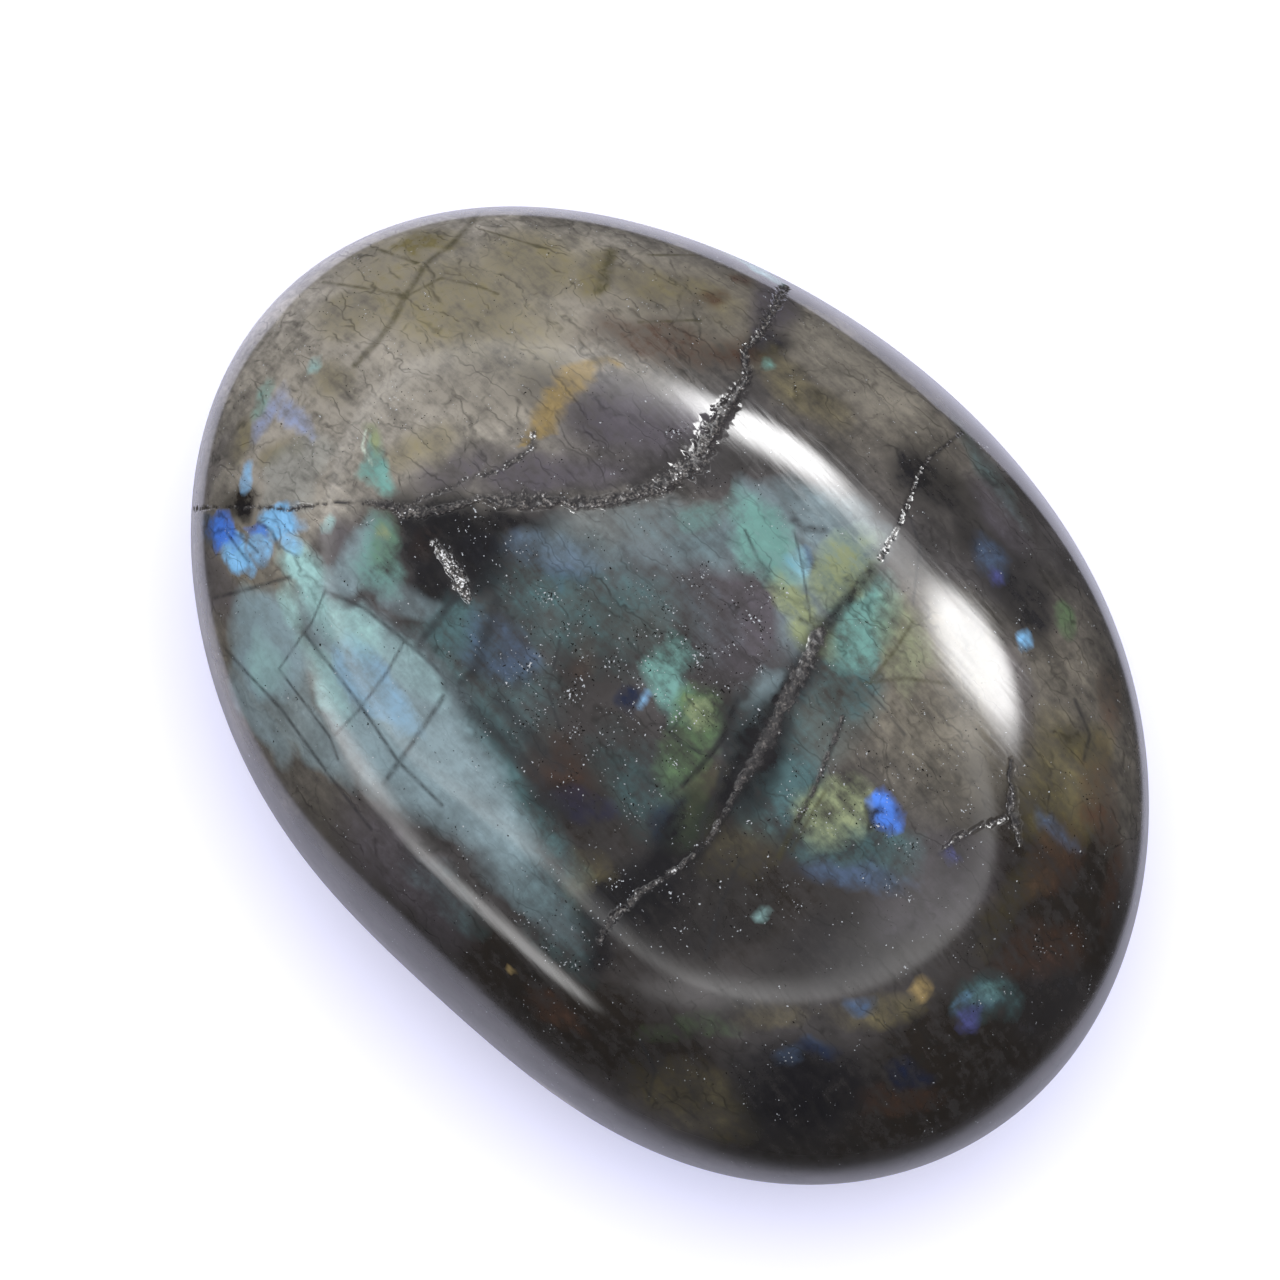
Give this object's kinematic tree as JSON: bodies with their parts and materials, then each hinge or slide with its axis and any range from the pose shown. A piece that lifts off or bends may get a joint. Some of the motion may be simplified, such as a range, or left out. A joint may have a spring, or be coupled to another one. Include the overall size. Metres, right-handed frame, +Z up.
{
  "type": "labradorite pebble",
  "caption": "Polished flattened egg-shaped pebble of dark grey-green feldspar with blue and green flashes and fine open fissures, lying on a small flat.",
  "frame": {"origin": "middle of the pebble's plan, at the level of the small flat that it lies on", "axes": "+Z up out of the domed face, +X along the pebble's length towards its fuller end, +Y across it"},
  "size_m": [0.0652, 0.0468, 0.0238],
  "materials": {
    "labradorite": "polished"
  },
  "bodies": {
    "root": {"pebble": "labradorite"}
  },
  "joints": []
}
